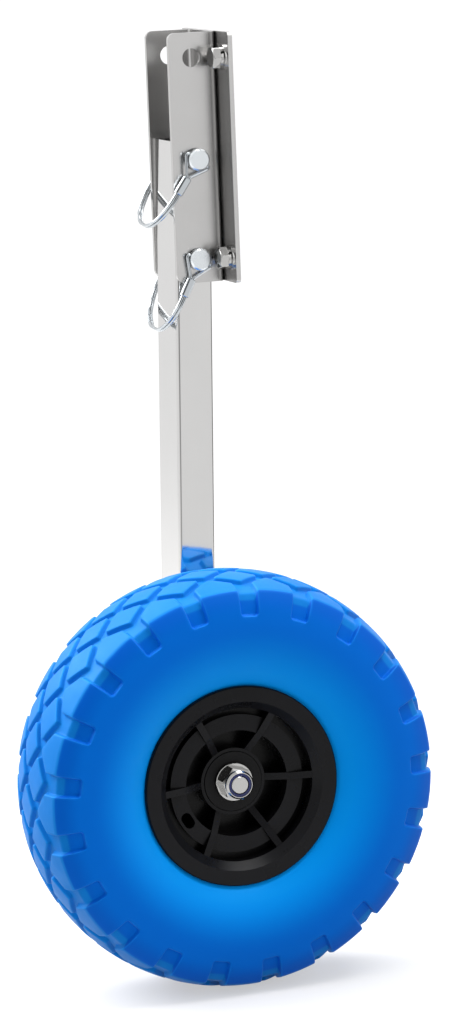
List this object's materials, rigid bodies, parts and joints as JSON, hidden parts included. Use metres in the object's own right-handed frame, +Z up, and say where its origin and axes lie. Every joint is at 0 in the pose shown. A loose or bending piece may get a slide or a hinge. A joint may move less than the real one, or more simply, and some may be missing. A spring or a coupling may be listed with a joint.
{
  "type": "dinghy launching wheel",
  "caption": "Launching wheel for a small boat: a transom bracket, a pinned folding leg and a foam-filled wheel.",
  "frame": {"origin": "middle of the four transom bolts, on the plate's back face, which lies against the transom", "axes": "+X into the transom, +Z up the bracket, the wheel stands off the leg towards -Y"},
  "size_m": [0.27, 0.153, 0.6103],
  "materials": {
    "bracket_steel": "polished stainless steel",
    "leg_steel": "mirror polished stainless steel",
    "fastener_steel": "plain stainless steel",
    "pin_steel": "bright stainless steel",
    "wire_steel": "bright stainless steel wire",
    "rim_plastic": "satin black moulding",
    "bush_plastic": "satin black moulding",
    "nylon": "blue nylon",
    "tyre_foam": "satin blue foamed polyurethane"
  },
  "bodies": {
    "bracket": {"base_plate": "bracket_steel", "channel": "bracket_steel", "transom_bolts": "fastener_steel", "transom_flat_washers": "fastener_steel", "transom_spring_washers": "fastener_steel"},
    "leg": {"leg_tube": "leg_steel", "axle_bolt": "fastener_steel", "axle_head_washer": "fastener_steel", "axle_leg_washer": "fastener_steel", "axle_outer_washer": "fastener_steel", "axle_nut": "fastener_steel", "nylon_insert": "nylon", "hub_sleeve": "fastener_steel"},
    "wheel": {"rim_near": "rim_plastic", "rim_far": "rim_plastic", "hub_bush_near": "bush_plastic", "hub_bush_far": "bush_plastic", "tyre": "tyre_foam"},
    "upper_pin_and_bail": {"upper_pin": "pin_steel", "upper_bail": "wire_steel", "upper_ferrule": "wire_steel"},
    "lower_pin_and_bail": {"lower_pin": "pin_steel", "lower_bail": "wire_steel", "lower_ferrule": "wire_steel"}
  },
  "joints": [
    {"name": "leg_pivot", "type": "hinge", "parent": "bracket", "child": "leg", "pos_m": [-0.02022, 0, -0.00076], "axis": [0, 1, 0], "range_deg": [-0.8, 0.05]},
    {"name": "wheel_spin", "type": "hinge", "parent": "leg", "child": "wheel", "pos_m": [-0.03259, 0, -0.39535], "axis": [0, 1, 0], "continuous": true},
    {"name": "upper_pin_turn", "type": "hinge", "parent": "bracket", "child": "upper_pin_and_bail", "pos_m": [-0.02022, 0, -0.00076], "axis": [0, 1, 0], "range_deg": [-1.5, 110]},
    {"name": "lower_pin_turn", "type": "hinge", "parent": "bracket", "child": "lower_pin_and_bail", "pos_m": [-0.02118, 0, -0.06476], "axis": [0, 1, 0], "range_deg": [-1.5, 100]}
  ]
}
